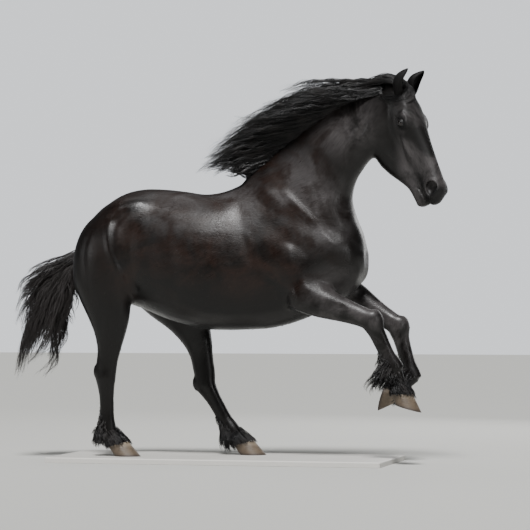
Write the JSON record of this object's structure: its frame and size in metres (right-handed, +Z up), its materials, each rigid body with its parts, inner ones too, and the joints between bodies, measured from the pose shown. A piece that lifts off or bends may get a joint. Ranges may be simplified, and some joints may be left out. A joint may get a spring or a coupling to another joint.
{
  "type": "friesian horse",
  "caption": "Life-size Friesian horse in a canter, with a flowing mane and tail, feathered fetlocks and pricked ears, standing on a flat display base.",
  "frame": {"origin": "centre of the display base's flat underside", "axes": "+X the way the horse faces, +Y the horse's left side, +Z up"},
  "size_m": [2.5509, 0.72, 2.1668],
  "materials": {
    "black_coat": "short glossy coat",
    "horse_hair": "long wavy hair",
    "dark_eye": "wet",
    "horn": "dull horn",
    "painted_board": "satin paint"
  },
  "bodies": {
    "root": {"stand_base": "painted_board", "torso": "black_coat", "neck": "black_coat", "head": "black_coat", "ear_right": "black_coat", "ear_left": "black_coat", "eye_right": "dark_eye", "eye_left": "dark_eye", "foreleg_right_upper": "black_coat", "foreleg_right_lower": "black_coat", "foreleg_left_upper": "black_coat", "foreleg_left_lower": "black_coat", "hindleg_right_upper": "black_coat", "hindleg_right_lower": "black_coat", "hindleg_left_upper": "black_coat", "hindleg_left_lower": "black_coat", "hoof_fore_right": "horn", "hoof_fore_left": "horn", "hoof_hind_right": "horn", "hoof_hind_left": "horn", "tail": "horse_hair"}
  },
  "joints": []
}
